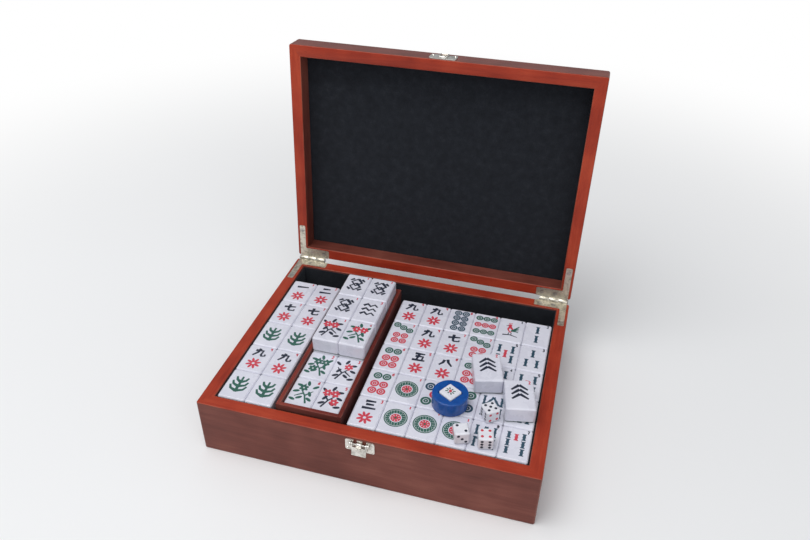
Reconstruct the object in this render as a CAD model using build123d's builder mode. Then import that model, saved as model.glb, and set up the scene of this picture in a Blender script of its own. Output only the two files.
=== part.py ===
from build123d import *
import os
from math import cos, radians, sin

# A wooden mahjong case, lid open. Millimetres, +X along the front, +Y to the back, +Z up.
# The origin is the middle of the case's underside. The lid is drawn shut and then turned open.

os.makedirs("parts", exist_ok=True)

# ---------------------------------------------------------------- driving dimensions
# Base
case_width = 236.0
case_depth = 182.0
base_height = 45.0
wall = 9.5
corner_round = 1.6
edge_round = 0.8
floor_thickness = 6.0
floor_rabbet = 4.0
panel_gap = 0.1

# Felt linings
wall_felt = 0.8
floor_felt = 1.0
lining_drop = 1.5

# Lid
lid_height = 17.5
lid_wall = 9.0
lid_panel_thickness = 3.0
lid_rabbet = 4.0
lid_felt = 0.8
rim_gap = 0.4
lid_open_angle = 94.5

# Corner hinges
leaf_thickness = 1.2
leaf_inset = 2.0
leaf_back_length = 26.0
leaf_back_width = 7.5
leaf_side_length = 29.0
leaf_side_width = 5.0
leaf_corner_round = 1.0
mortise_gap = 0.1
knuckle_radius = 2.0
knuckle_stand_off = 0.3
knuckle_end_gap = 0.2
barrel_length = 22.0
hinge_pin_radius = 0.9
hinge_pin_head_radius = 1.5
hinge_pin_head = 0.6
running_clearance = 0.05
stop_tail_length = 3.8
stop_tail_thickness = 1.6
stop_gap = 0.15
screw_inset = 4.5
screw_spacing = 11.0

# Countersunk screws
screw_head_radius = 1.9
screw_radius = 0.9
screw_length = 6.0
screw_slot_width = 0.5
screw_slot_depth = 0.4
screw_clearance = 0.05

# Draw latch
latch_plate_width = 20.0
latch_plate_height = 9.6
latch_plate_drop = 1.5
latch_metal = 0.7
latch_corner = 1.2
lever_width = 10.8
lever_length = 8.6
lever_straight = 3.7
lever_tab_width = 10.0
lever_metal = 1.0
lever_pivot_out = 1.9
lever_pivot_down = 2.2
lever_barrel_radius = 1.2
notch_width = 2.6
notch_depth = 4.1
latch_pin_radius = 0.5
latch_pin_head_radius = 0.8
latch_pin_head = 0.3
ear_gap = 0.3
ear_thickness = 1.0
ear_radius = 1.3
loop_pivot_out = 1.35
loop_pivot_rise = 2.2
loop_barrel_radius = 0.9
loop_width = 6.3
loop_bar_out = 3.6
loop_bar_down = 2.7
wire_radius = 0.4
wire_end = 1.2
wire_bend = 1.2
wire_clearance = 0.08
catch_height = 10.0
catch_rise = 1.2
hook_width = 3.6
hook_metal = 0.55
hook_lip = 1.0
hook_clearance = 0.15
nail_head_radius = 1.0
nail_head = 0.5
nail_radius = 0.5
nail_length = 5.0
nail_inset = 1.6

# Tiles
tile_width = 20.0
tile_length = 28.0
tile_thickness = 12.5
tile_chamfer = 0.9
tile_gap = 0.1
layer_gap = 0.1
block_margin = 0.3
layer_names = ("lower", "middle", "upper")
left_columns = 2
tray_columns = 2
tray_upper_rows = 3
tray_side_room = 2.0
back_channel_room = 15.0

# Tray
tray_wall = 3.0
tray_floor = 3.0
tray_floor_rise = 10.8
tray_height = 41.5
tray_tile_margin = 0.35
tray_front_gap = 0.7
tray_edge_round = 0.6

# Loose tiles, wind holder and dice. A spot is how far in from the right block's right edge and
# how far back from its front edge the piece's middle lies.
loose_tile_front_spot = (tile_width / 2 + 2.8, 46.4)
loose_tile_front_turn = 12.0
loose_tile_back_spot = (loose_tile_front_spot[0] + tile_width + 5.6, 66.9)
loose_tile_back_turn = 15.0
holder_spot = (58.4, 36.4)
holder_radius = 12.5
holder_height = 11.0
holder_floor = 0.8
holder_round = 1.0
holder_turn = 58.0
die_size = 10.0
wind_die_size = 11.4
die_chamfer = 0.9
die_gap = 0.3
die_front_left_spot = (44.7, 8.2)
die_front_left_turn = 20.0
die_front_right_spot = (28.6, 8.0)
die_front_right_turn = 12.0
die_back_spot = (loose_tile_front_spot[0] + 17.1, 31.9)
die_back_turn = 38.0

# ---------------------------------------------------------------- places worked out from them
half_width = case_width / 2
half_depth = case_depth / 2
inner_width = case_width - 2 * wall
inner_depth = case_depth - 2 * wall
floor_top = floor_thickness + floor_felt
lid_bottom = base_height + rim_gap
lid_top = lid_bottom + lid_height
lid_inner_width = case_width - 2 * lid_wall
lid_inner_depth = case_depth - 2 * lid_wall

hinge_y = half_depth + knuckle_stand_off + knuckle_radius
hinge_z = base_height + rim_gap / 2
hinge_line = Axis((0, hinge_y, hinge_z), (1, 0, 0))
rim_mirror = Plane.XY.offset(hinge_z)
leaf_end = half_width - leaf_inset

front_face = Plane.XZ.offset(half_depth)
lever_pivot_y = -half_depth - lever_pivot_out
lever_pivot_z = base_height - latch_plate_drop - lever_pivot_down
loop_pivot_y = -half_depth - loop_pivot_out
loop_pivot_z = lid_bottom + loop_pivot_rise
# Where the loop's bar lies under the lever's hook when the case is latched.
bar_y = -half_depth - loop_bar_out
bar_z = lever_pivot_z - loop_bar_down
loop_reach = ((bar_y - loop_pivot_y) ** 2 + (bar_z - loop_pivot_z) ** 2) ** 0.5

tile_pitch_x = tile_width + tile_gap
tile_pitch_y = tile_length + tile_gap
layer_pitch = tile_thickness + layer_gap


def columns_width(columns):
    return columns * tile_pitch_x - tile_gap


# The tray stands in the slot between the two blocks. The right block has as many columns, and
# all of them as many rows, as the case has room for.
tray_inner_width = columns_width(tray_columns) + 2 * tray_tile_margin
tray_width = tray_inner_width + 2 * tray_wall
blocks_room = inner_width - 2 * (wall_felt + block_margin)
right_room = blocks_room - columns_width(left_columns) - tray_width - 2 * tray_side_room
right_columns = int((right_room + tile_gap) / tile_pitch_x)
rows_room = inner_depth - 2 * wall_felt - block_margin - back_channel_room
tile_rows = int((rows_room + tile_gap) / tile_pitch_y)
rows_length = tile_rows * tile_pitch_y - tile_gap

front_row_y = -inner_depth / 2 + wall_felt + block_margin
block_y = front_row_y + rows_length / 2
block_z = floor_top + layer_gap
on_top = block_z + len(layer_names) * layer_pitch
left_block_x = -inner_width / 2 + wall_felt + block_margin + columns_width(left_columns) / 2
right_edge_x = inner_width / 2 - wall_felt - block_margin
right_block_x = right_edge_x - columns_width(right_columns) / 2
slot_left = left_block_x + columns_width(left_columns) / 2
slot_right = right_block_x - columns_width(right_columns) / 2
tray_x = (slot_left + slot_right) / 2
tray_inner_length = rows_length + 2 * tray_tile_margin
tray_length = tray_inner_length + 2 * tray_wall
tray_y = -inner_depth / 2 + wall_felt + tray_front_gap + tray_length / 2
tray_z = floor_top + layer_gap


def on_right_block(spot):
    """Where a spot given from the right block's front right corner lies in the case."""
    inwards, backwards = spot
    return (right_edge_x - inwards, front_row_y + backwards)


# ---------------------------------------------------------------- helpers
def save(part, name):
    part.label = name
    export_step(part, f"parts/{name}.step")


def opened(part):
    return part.rotate(hinge_line, -lid_open_angle)


def mitre_wedges(width, depth, reach):
    """Plan outline of each side's share of a rectangular frame, cut at 45 degrees at the corners."""
    x, y = width / 2, depth / 2
    return {
        "front": [(-x, -y), (x, -y), (x - reach, -y + reach), (-x + reach, -y + reach)],
        "right": [(x, -y), (x, y), (x - reach, y - reach), (x - reach, -y + reach)],
        "back": [(x, y), (-x, y), (-x + reach, y - reach), (x - reach, y - reach)],
        "left": [(-x, y), (-x, -y), (-x + reach, -y + reach), (-x + reach, y - reach)],
    }


# ---------------------------------------------------------------- corner hinge shapes
# The right base leaf is drawn; the lid's is its mirror image in the rim, the left ones in the middle.
back_arm_x = leaf_end - leaf_back_length / 2
back_arm_y = half_depth - leaf_back_width / 2
side_arm_x = leaf_end - leaf_side_width / 2
side_arm_y = half_depth - leaf_side_length / 2
leaf_screw_spots = [
    (leaf_end - leaf_back_length + screw_inset, back_arm_y, base_height),
    (leaf_end - leaf_back_length + screw_inset + screw_spacing, back_arm_y, base_height),
    (side_arm_x, half_depth - leaf_side_length + screw_inset, base_height),
]

with BuildPart() as leaf_plate:
    with BuildSketch(Plane.XY.offset(base_height - leaf_thickness)) as leaf_outline:
        with Locations((back_arm_x, back_arm_y)):
            Rectangle(leaf_back_length, leaf_back_width)
        with Locations((side_arm_x, side_arm_y)):
            Rectangle(leaf_side_width, leaf_side_length)
        fillet(leaf_outline.vertices(), leaf_corner_round)
    extrude(amount=leaf_thickness)
    with Locations(*leaf_screw_spots):
        CounterSinkHole(
            screw_radius + screw_clearance, screw_head_radius + screw_clearance, leaf_thickness, 90
        )

with BuildPart() as leaf_pocket:
    with BuildSketch(Plane.XY.offset(base_height - leaf_thickness)):
        add(leaf_outline.sketch)
        offset(amount=mortise_gap)
    extrude(amount=leaf_thickness + rim_gap / 2)
    with Locations(*leaf_screw_spots):
        Cylinder(screw_radius + screw_clearance, screw_length + screw_clearance,
                 align=(Align.CENTER, Align.CENTER, Align.MAX))


def both_sides(part):
    """A right-hand shape together with its mirror image on the left."""
    return [part, part.mirror(Plane.YZ)]


# ---------------------------------------------------------------- base walls and floor
with BuildPart() as base_frame:
    with BuildSketch():
        RectangleRounded(case_width, case_depth, corner_round)
        Rectangle(inner_width, inner_depth, mode=Mode.SUBTRACT)
    extrude(amount=base_height)
    rim = base_frame.faces().sort_by(Axis.Z)[-1]
    underside = base_frame.faces().sort_by(Axis.Z)[0]
    fillet(rim.edges() + underside.outer_wire().edges(), edge_round)
    with BuildSketch():
        Rectangle(inner_width + 2 * floor_rabbet, inner_depth + 2 * floor_rabbet)
    extrude(amount=floor_thickness, mode=Mode.SUBTRACT)
    add(both_sides(leaf_pocket.part), mode=Mode.SUBTRACT)

nail_rows = {
    "base": lever_pivot_z + lever_pivot_down - latch_plate_height + nail_inset,
    "lid": lid_bottom + catch_rise + catch_height - nail_inset,
}
nail_spots = {
    body: [(-latch_plate_width / 2 + nail_inset, row), (latch_plate_width / 2 - nail_inset, row)]
    for body, row in nail_rows.items()
}

for side, outline in mitre_wedges(case_width, case_depth, 2 * wall).items():
    with BuildPart() as base_wall:
        add(base_frame.part)
        with BuildSketch():
            Polygon(*outline, align=None)
        extrude(amount=base_height, mode=Mode.INTERSECT)
        if side == "front":
            with BuildSketch(front_face):
                with Locations(*nail_spots["base"]):
                    Circle(nail_radius)
            extrude(amount=-nail_length, mode=Mode.SUBTRACT)
    save(base_wall.part, f"base_{side}_wall")

with BuildPart() as base_floor_panel:
    with BuildSketch():
        Rectangle(inner_width + 2 * (floor_rabbet - panel_gap), inner_depth + 2 * (floor_rabbet - panel_gap))
    extrude(amount=floor_thickness)
save(base_floor_panel.part, "base_floor_panel")

with BuildPart() as base_floor_lining:
    with BuildSketch(Plane.XY.offset(floor_thickness)):
        Rectangle(inner_width, inner_depth)
    extrude(amount=floor_felt)
save(base_floor_lining.part, "base_floor_lining")

lining_height = base_height - lining_drop - floor_top
side_lining_x = (inner_width - wall_felt) / 2
end_lining_y = (inner_depth - wall_felt) / 2
lining_sheets = {
    "front": (0, -end_lining_y, inner_width, wall_felt),
    "back": (0, end_lining_y, inner_width, wall_felt),
    "left": (-side_lining_x, 0, wall_felt, inner_depth - 2 * wall_felt),
    "right": (side_lining_x, 0, wall_felt, inner_depth - 2 * wall_felt),
}
for side, (x, y, width, depth) in lining_sheets.items():
    with BuildPart() as base_lining:
        with BuildSketch(Plane.XY.offset(floor_top)):
            with Locations((x, y)):
                Rectangle(width, depth)
        extrude(amount=lining_height)
    save(base_lining.part, f"base_{side}_lining")

# ---------------------------------------------------------------- lid, drawn shut
with BuildPart() as lid_frame:
    with BuildSketch(Plane.XY.offset(lid_bottom)):
        RectangleRounded(case_width, case_depth, corner_round)
        Rectangle(lid_inner_width, lid_inner_depth, mode=Mode.SUBTRACT)
    extrude(amount=lid_height)
    top_face = lid_frame.faces().sort_by(Axis.Z)[-1]
    rim = lid_frame.faces().sort_by(Axis.Z)[0]
    fillet(rim.edges() + top_face.outer_wire().edges(), edge_round)
    with BuildSketch(Plane.XY.offset(lid_top - lid_panel_thickness)):
        Rectangle(lid_inner_width + 2 * lid_rabbet, lid_inner_depth + 2 * lid_rabbet)
    extrude(amount=lid_panel_thickness, mode=Mode.SUBTRACT)
    add(both_sides(leaf_pocket.part.mirror(rim_mirror)), mode=Mode.SUBTRACT)

for side, outline in mitre_wedges(case_width, case_depth, 2 * lid_wall).items():
    with BuildPart() as lid_rail:
        add(lid_frame.part)
        with BuildSketch(Plane.XY.offset(lid_bottom)):
            Polygon(*outline, align=None)
        extrude(amount=lid_height, mode=Mode.INTERSECT)
        if side == "front":
            with BuildSketch(front_face):
                with Locations(*nail_spots["lid"]):
                    Circle(nail_radius)
            extrude(amount=-nail_length, mode=Mode.SUBTRACT)
    save(opened(lid_rail.part), f"lid_{side}_rail")

with BuildPart() as lid_top_panel:
    with BuildSketch(Plane.XY.offset(lid_top - lid_panel_thickness)):
        Rectangle(lid_inner_width + 2 * (lid_rabbet - panel_gap), lid_inner_depth + 2 * (lid_rabbet - panel_gap))
    extrude(amount=lid_panel_thickness)
save(opened(lid_top_panel.part), "lid_top_panel")

with BuildPart() as lid_lining:
    with BuildSketch(Plane.XY.offset(lid_top - lid_panel_thickness)):
        Rectangle(lid_inner_width - 2 * panel_gap, lid_inner_depth - 2 * panel_gap)
    extrude(amount=-lid_felt)
save(opened(lid_lining.part), "lid_lining")

# ---------------------------------------------------------------- corner hinges
knuckle_length = (barrel_length - 2 * knuckle_end_gap) / 3
knuckle_pitch = knuckle_length + knuckle_end_gap
barrel_x = leaf_end - barrel_length / 2
web_z = base_height - leaf_thickness / 2
hinge_bore = hinge_pin_radius + running_clearance


def knuckle(x):
    """One knuckle centred at x, with the web that joins it to the leaf under the rim."""
    with BuildPart() as barrel:
        with BuildSketch(Plane.YZ.offset(x - knuckle_length / 2)):
            with Locations((hinge_y, hinge_z)):
                Circle(knuckle_radius)
            with Locations((half_depth, web_z)):
                Rectangle(hinge_y - half_depth, leaf_thickness, align=(Align.MIN, Align.CENTER))
        extrude(amount=knuckle_length)
    return barrel.part


with BuildPart() as hinge_bore_cutter:
    with BuildSketch(Plane.YZ.offset(barrel_x - barrel_length)):
        with Locations((hinge_y, hinge_z)):
            Circle(hinge_bore)
    extrude(amount=2 * barrel_length)

with BuildPart() as hinge_base_leaf:
    add(leaf_plate.part)
    add(knuckle(barrel_x - knuckle_pitch))
    add(knuckle(barrel_x + knuckle_pitch))
    add(hinge_bore_cutter.part, mode=Mode.SUBTRACT)
save(hinge_base_leaf.part, "right_hinge_base_leaf")
save(hinge_base_leaf.part.mirror(Plane.YZ), "left_hinge_base_leaf")

with BuildPart() as shut_lid_leaf:
    add(leaf_plate.part)
    add(knuckle(barrel_x))

with BuildPart() as hinge_lid_leaf:
    add(opened(shut_lid_leaf.part.mirror(rim_mirror)))
    # The stop tail hangs behind the base's back wall and meets it when the lid is fully open.
    with Locations((barrel_x, half_depth + stop_gap, hinge_z)):
        Box(knuckle_length, stop_tail_thickness, stop_tail_length, align=(Align.CENTER, Align.MIN, Align.MAX))
    add(hinge_bore_cutter.part, mode=Mode.SUBTRACT)
save(hinge_lid_leaf.part, "right_hinge_lid_leaf")
save(hinge_lid_leaf.part.mirror(Plane.YZ), "left_hinge_lid_leaf")

with BuildPart() as hinge_pin:
    with BuildSketch(Plane.YZ.offset(barrel_x - barrel_length / 2)):
        with Locations((hinge_y, hinge_z)):
            Circle(hinge_pin_radius)
    extrude(amount=barrel_length)
    for end, way in ((barrel_x - barrel_length / 2, -1), (barrel_x + barrel_length / 2, 1)):
        with BuildSketch(Plane.YZ.offset(end)):
            with Locations((hinge_y, hinge_z)):
                Circle(hinge_pin_head_radius)
        extrude(amount=way * hinge_pin_head)
save(hinge_pin.part, "right_hinge_pin")
save(hinge_pin.part.mirror(Plane.YZ), "left_hinge_pin")

with BuildPart() as screw:
    with BuildSketch(Plane.XZ) as screw_profile:
        with BuildLine():
            Polyline(
                (0, 0),
                (screw_head_radius, 0),
                (screw_radius, screw_radius - screw_head_radius),
                (screw_radius, -screw_length + screw_radius),
                (0, -screw_length),
                close=True,
            )
        make_face()
    revolve(axis=Axis.Z)
    Box(2 * screw_head_radius, screw_slot_width, 2 * screw_slot_depth, mode=Mode.SUBTRACT)

with BuildPart() as hinge_screws:
    with Locations(*leaf_screw_spots):
        add(screw.part)
save(Compound(children=both_sides(hinge_screws.part)), "base_hinge_screws")
shut_screws = hinge_screws.part.mirror(rim_mirror)
save(Compound(children=both_sides(opened(shut_screws))), "lid_hinge_screws")

# ---------------------------------------------------------------- draw latch
plate_top = base_height - latch_plate_drop
notch_bottom = plate_top - notch_depth
notch_x = (hook_width + notch_width) / 2
ear_x = (lever_width + ear_thickness) / 2 + ear_gap

# The loop's legs come down through two notches, one on each side of the lever's hook.
with BuildPart() as leg_notches:
    with Locations((-notch_x, -half_depth, notch_bottom), (notch_x, -half_depth, notch_bottom)):
        Box(notch_width, 2 * loop_bar_out, 2 * notch_depth, align=(Align.CENTER, Align.CENTER, Align.MIN))

with BuildPart() as latch_plate:
    with BuildSketch(front_face):
        with Locations((0, plate_top - latch_plate_height / 2)):
            RectangleRounded(latch_plate_width, latch_plate_height, latch_corner)
        with Locations(*nail_spots["base"]):
            Circle(nail_radius, mode=Mode.SUBTRACT)
    extrude(amount=latch_metal)
    for x in (-ear_x, ear_x):
        with BuildSketch(Plane.YZ.offset(x - ear_thickness / 2)):
            with Locations((lever_pivot_y, lever_pivot_z)):
                Circle(ear_radius)
                Rectangle(lever_pivot_out, 2 * ear_radius, align=(Align.MIN, Align.CENTER))
        extrude(amount=ear_thickness)
    with BuildSketch(Plane.YZ.offset(-latch_plate_width)):
        with Locations((lever_pivot_y, lever_pivot_z)):
            Circle(latch_pin_radius + running_clearance)
    extrude(amount=2 * latch_plate_width, mode=Mode.SUBTRACT)
    add(leg_notches.part, mode=Mode.SUBTRACT)
save(latch_plate.part, "latch_plate")

pin_reach = ear_x + ear_thickness / 2
with BuildPart() as latch_pin:
    with BuildSketch(Plane.YZ.offset(-pin_reach)):
        with Locations((lever_pivot_y, lever_pivot_z)):
            Circle(latch_pin_radius)
    extrude(amount=2 * pin_reach)
    for end, way in ((-pin_reach, -1), (pin_reach, 1)):
        with BuildSketch(Plane.YZ.offset(end)):
            with Locations((lever_pivot_y, lever_pivot_z)):
                Circle(latch_pin_head_radius)
        extrude(amount=way * latch_pin_head)
save(latch_pin.part, "latch_pin")

lever_front_y = lever_pivot_y - lever_metal
lever_tip_z = lever_pivot_z - lever_length
tab_start_z = lever_pivot_z - lever_straight
hook_underside_z = bar_z + wire_radius + hook_clearance
lip_inner_y = bar_y - wire_radius - hook_clearance
with BuildPart() as latch_lever:
    with BuildSketch(Plane.YZ.offset(-lever_width / 2)):
        with Locations((lever_pivot_y, lever_pivot_z)):
            Circle(lever_barrel_radius)
        with BuildLine():
            Polyline(
                (lever_pivot_y, lever_pivot_z),
                (lever_pivot_y, tab_start_z),
                (lever_pivot_y - lever_metal, lever_tip_z),
                (lever_front_y - lever_metal, lever_tip_z),
                (lever_front_y, tab_start_z),
                (lever_front_y, lever_pivot_z),
                close=True,
            )
        make_face()
    extrude(amount=lever_width)
    # Where it leans out for the thumb the lever is a little narrower.
    with Locations((-lever_width / 2, lever_pivot_y, lever_tip_z), (lever_width / 2, lever_pivot_y, lever_tip_z)):
        Box(lever_width - lever_tab_width, 6 * lever_metal, 2 * (tab_start_z - lever_tip_z), mode=Mode.SUBTRACT)
    with BuildSketch(Plane.YZ.offset(-lever_width)):
        with Locations((lever_pivot_y, lever_pivot_z)):
            Circle(latch_pin_radius + running_clearance)
    extrude(amount=2 * lever_width, mode=Mode.SUBTRACT)
    add(leg_notches.part, mode=Mode.SUBTRACT)
    # The hook stands out from the lever's face and turns down over the loop's bar.
    with BuildSketch(Plane.YZ.offset(-hook_width / 2)):
        with BuildLine():
            Polyline(
                (lever_front_y + lever_metal / 2, hook_underside_z),
                (lip_inner_y, hook_underside_z),
                (lip_inner_y, hook_underside_z - hook_lip),
                (lip_inner_y - hook_metal, hook_underside_z - hook_lip),
                (lip_inner_y - hook_metal, hook_underside_z + hook_metal),
                (lever_front_y + lever_metal / 2, hook_underside_z + hook_metal),
                close=True,
            )
        make_face()
    extrude(amount=hook_width)
save(latch_lever.part, "latch_lever")

# The wire loop turns on the lid's plate; drawn folded back against the plate.
leg_x = loop_width / 2
loop_barrel_width = loop_width - 2 * wire_radius - 2 * ear_gap
end_x = loop_barrel_width / 2 - wire_end
loop_plane = Plane.XZ.offset(-loop_pivot_y)
with BuildPart() as latch_loop:
    with BuildLine(loop_plane):
        FilletPolyline(
            (end_x, loop_pivot_z),
            (leg_x, loop_pivot_z),
            (leg_x, loop_pivot_z + loop_reach),
            (-leg_x, loop_pivot_z + loop_reach),
            (-leg_x, loop_pivot_z),
            (-end_x, loop_pivot_z),
            radius=wire_bend,
        )
    with BuildSketch(Plane(origin=(end_x, loop_pivot_y, loop_pivot_z), z_dir=(1, 0, 0))):
        Circle(wire_radius)
    sweep()
save(opened(latch_loop.part), "latch_loop")

with BuildPart() as catch_plate:
    with BuildSketch(front_face):
        with Locations((0, lid_bottom + catch_rise)):
            RectangleRounded(latch_plate_width, catch_height, latch_corner, align=(Align.CENTER, Align.MIN))
        with Locations(*nail_spots["lid"]):
            Circle(nail_radius, mode=Mode.SUBTRACT)
    extrude(amount=latch_metal)
    with BuildSketch(Plane.YZ.offset(-loop_barrel_width / 2)):
        with Locations((loop_pivot_y, loop_pivot_z)):
            Circle(loop_barrel_radius)
            Rectangle(loop_pivot_out, 2 * loop_barrel_radius, align=(Align.MIN, Align.CENTER))
    extrude(amount=loop_barrel_width)
    with BuildSketch(Plane.YZ.offset(-loop_barrel_width)):
        with Locations((loop_pivot_y, loop_pivot_z)):
            Circle(wire_radius + wire_clearance)
    extrude(amount=2 * loop_barrel_width, mode=Mode.SUBTRACT)
save(opened(catch_plate.part), "catch_plate")


def latch_nails(spots):
    """Round-headed nails through a latch plate on the front face."""
    with BuildPart() as nails:
        with BuildSketch(front_face):
            with Locations(*spots):
                Circle(nail_radius)
        extrude(amount=-nail_length)
        with BuildSketch(front_face):
            with Locations(*spots):
                Circle(nail_radius)
        extrude(amount=latch_metal)
        with BuildSketch(front_face.offset(latch_metal)):
            with Locations(*spots):
                Circle(nail_head_radius)
        extrude(amount=nail_head, taper=30)
    return nails.part


save(latch_nails(nail_spots["base"]), "latch_plate_nails")
save(opened(latch_nails(nail_spots["lid"])), "catch_plate_nails")


# ---------------------------------------------------------------- tiles
def tile_layer(x, y, z, columns, rows):
    """A layer of separate tiles centred at x, y with its underside at z."""
    with BuildPart() as layer:
        with BuildSketch(Plane.XY.offset(z)):
            with Locations((x, y)):
                with GridLocations(tile_pitch_x, tile_pitch_y, columns, rows):
                    Rectangle(tile_width, tile_length)
        extrude(amount=tile_thickness)
        chamfer(layer.edges(), tile_chamfer)
    return layer.part


for block, x, columns in (("left", left_block_x, left_columns), ("right", right_block_x, right_columns)):
    for level, layer_name in enumerate(layer_names):
        layer = tile_layer(x, block_y, block_z + level * layer_pitch, columns, tile_rows)
        save(layer, f"{block}_tiles_{layer_name}")

tray_tiles_z = tray_z + tray_floor_rise + tray_floor + layer_gap
for level, layer_name in enumerate(layer_names):
    rows = tray_upper_rows if layer_name == "upper" else tile_rows
    layer_y = tray_y + (tile_rows - rows) * tile_pitch_y / 2
    layer = tile_layer(tray_x, layer_y, tray_tiles_z + level * layer_pitch, tray_columns, rows)
    save(layer, f"tray_tiles_{layer_name}")


def loose_tile(spot, turn):
    """One tile lying face up on the right block, turned about its middle."""
    with BuildPart() as tile:
        with BuildSketch(Plane.XY.offset(on_top)):
            with Locations(Location((*on_right_block(spot), 0), (0, 0, turn))):
                Rectangle(tile_width, tile_length)
        extrude(amount=tile_thickness)
        chamfer(tile.edges(), tile_chamfer)
    return tile.part


save(loose_tile(loose_tile_back_spot, loose_tile_back_turn), "loose_tile_back")
save(loose_tile(loose_tile_front_spot, loose_tile_front_turn), "loose_tile_front")

# ---------------------------------------------------------------- lift-out tray
for side, way in (("left", -1), ("right", 1)):
    with BuildPart() as tray_side:
        with BuildSketch(Plane.XY.offset(tray_z)):
            with Locations((tray_x + way * (tray_inner_width + tray_wall) / 2, tray_y)):
                Rectangle(tray_wall, tray_length)
        extrude(amount=tray_height)
        top_edges = tray_side.edges().filter_by(Axis.Y).group_by(Axis.Z)[-1]
        fillet(top_edges, tray_edge_round)
    save(tray_side.part, f"tray_{side}_side")

for side, way in (("front", -1), ("back", 1)):
    with BuildPart() as tray_end:
        with BuildSketch(Plane.XY.offset(tray_z)):
            with Locations((tray_x, tray_y + way * (tray_inner_length + tray_wall) / 2)):
                Rectangle(tray_inner_width, tray_wall)
        extrude(amount=tray_height)
        top_edges = tray_end.edges().filter_by(Axis.X).group_by(Axis.Z)[-1]
        fillet(top_edges, tray_edge_round)
    save(tray_end.part, f"tray_{side}_end")

# The bottom board sits part way up between the sides and ends, which stand on the case's floor.
with BuildPart() as tray_bottom:
    with BuildSketch(Plane.XY.offset(tray_z + tray_floor_rise)):
        with Locations((tray_x, tray_y)):
            Rectangle(tray_inner_width, tray_inner_length)
    extrude(amount=tray_floor)
save(tray_bottom.part, "tray_bottom")


# ---------------------------------------------------------------- wind holder and dice
def die(size, spot, turn, z):
    """A cube with broken edges, standing at z and turned about its middle."""
    with BuildPart() as cube:
        with BuildSketch(Plane.XY.offset(z)):
            with Locations(Location((*on_right_block(spot), 0), (0, 0, turn))):
                Rectangle(size, size)
        extrude(amount=size)
        chamfer(cube.edges(), die_chamfer)
    return cube.part


with BuildPart() as wind_holder:
    with BuildSketch(Plane.XY.offset(on_top)):
        with Locations(on_right_block(holder_spot)):
            Circle(holder_radius)
    extrude(amount=holder_height)
    holder_rims = wind_holder.edges().filter_by(GeomType.CIRCLE)
    fillet(holder_rims, holder_round)
    with BuildSketch(Plane.XY.offset(on_top + holder_floor)):
        with Locations(Location((*on_right_block(holder_spot), 0), (0, 0, holder_turn))):
            Rectangle(wind_die_size + 2 * die_gap, wind_die_size + 2 * die_gap)
    extrude(amount=holder_height, mode=Mode.SUBTRACT)
save(wind_holder.part, "wind_holder")

save(die(wind_die_size, holder_spot, holder_turn, on_top + holder_floor + layer_gap), "wind_die")
save(die(die_size, die_front_left_spot, die_front_left_turn, on_top), "die_front_left")
save(die(die_size, die_front_right_spot, die_front_right_turn, on_top), "die_front_right")
save(die(die_size, die_back_spot, die_back_turn, on_top), "die_back")
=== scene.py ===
import bmesh
import bpy
from math import cos, pi, radians, sin
from mathutils import Matrix, Vector


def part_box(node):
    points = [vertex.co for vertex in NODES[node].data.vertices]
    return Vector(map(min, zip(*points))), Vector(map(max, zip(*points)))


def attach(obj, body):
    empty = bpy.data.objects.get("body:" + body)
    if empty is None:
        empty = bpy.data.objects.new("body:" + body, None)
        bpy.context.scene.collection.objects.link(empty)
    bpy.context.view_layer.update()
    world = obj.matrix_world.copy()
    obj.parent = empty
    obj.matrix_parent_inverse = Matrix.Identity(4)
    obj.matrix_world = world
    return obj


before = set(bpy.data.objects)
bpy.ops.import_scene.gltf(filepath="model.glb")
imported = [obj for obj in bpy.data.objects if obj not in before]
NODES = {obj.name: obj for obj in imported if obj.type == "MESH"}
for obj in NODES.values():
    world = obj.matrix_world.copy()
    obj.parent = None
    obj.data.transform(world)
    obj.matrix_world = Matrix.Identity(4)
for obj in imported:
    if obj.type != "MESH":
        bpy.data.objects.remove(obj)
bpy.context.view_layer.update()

MM = 0.001

# ---------------------------------------------------------------- camera
CAMERA_PLACE = (0.1105, -0.3941, 0.4074)
CAMERA_YAW = 15.1
CAMERA_DOWN = 35.3
CAMERA_ROLL = 0.8
CAMERA_LENS = 32.36


def make_camera():
    camera = bpy.data.objects.new("camera", bpy.data.cameras.new("camera"))
    bpy.context.scene.collection.objects.link(camera)
    camera.data.lens = CAMERA_LENS
    camera.data.clip_start = 0.01
    aim = Matrix.Rotation(radians(CAMERA_YAW), 4, "Z")
    aim = aim @ Matrix.Rotation(radians(90 - CAMERA_DOWN), 4, "X")
    aim = aim @ Matrix.Rotation(radians(CAMERA_ROLL), 4, "Z")
    camera.matrix_world = Matrix.Translation(CAMERA_PLACE) @ aim
    bpy.context.scene.camera = camera


make_camera()


# ---------------------------------------------------------------- material helpers
def new_material(name, **constants):
    """A material with its Principled BSDF's own sockets set."""
    material = bpy.data.materials.new(name)
    material.use_nodes = True
    shader = material.node_tree.nodes["Principled BSDF"]
    for socket, value in constants.items():
        shader.inputs[socket.replace("_", " ")].default_value = value
    return material, material.node_tree, shader


def add(tree, kind, inputs=(), **settings):
    """Adds a node. Inputs map a socket's name or number to a value or to another node's output."""
    made = tree.nodes.new("ShaderNode" + kind)
    for key, value in settings.items():
        setattr(made, key, value)
    for key, value in dict(inputs).items():
        if isinstance(value, bpy.types.NodeSocket):
            tree.links.new(value, made.inputs[key])
        else:
            made.inputs[key].default_value = value
    return made


def maths(tree, operation, *values, clamp=False):
    return add(tree, "Math", enumerate(values), operation=operation, use_clamp=clamp).outputs[0]


def ramp(tree, factor, *stops):
    """A colour ramp through (position, colour) stops."""
    made = add(tree, "ValToRGB", {0: factor})
    elements = made.color_ramp.elements
    while len(elements) < len(stops):
        elements.new(0.5)
    for element, (position, colour) in zip(elements, stops):
        element.position = position
        element.color = (*colour, 1)
    return made.outputs[0]


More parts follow.
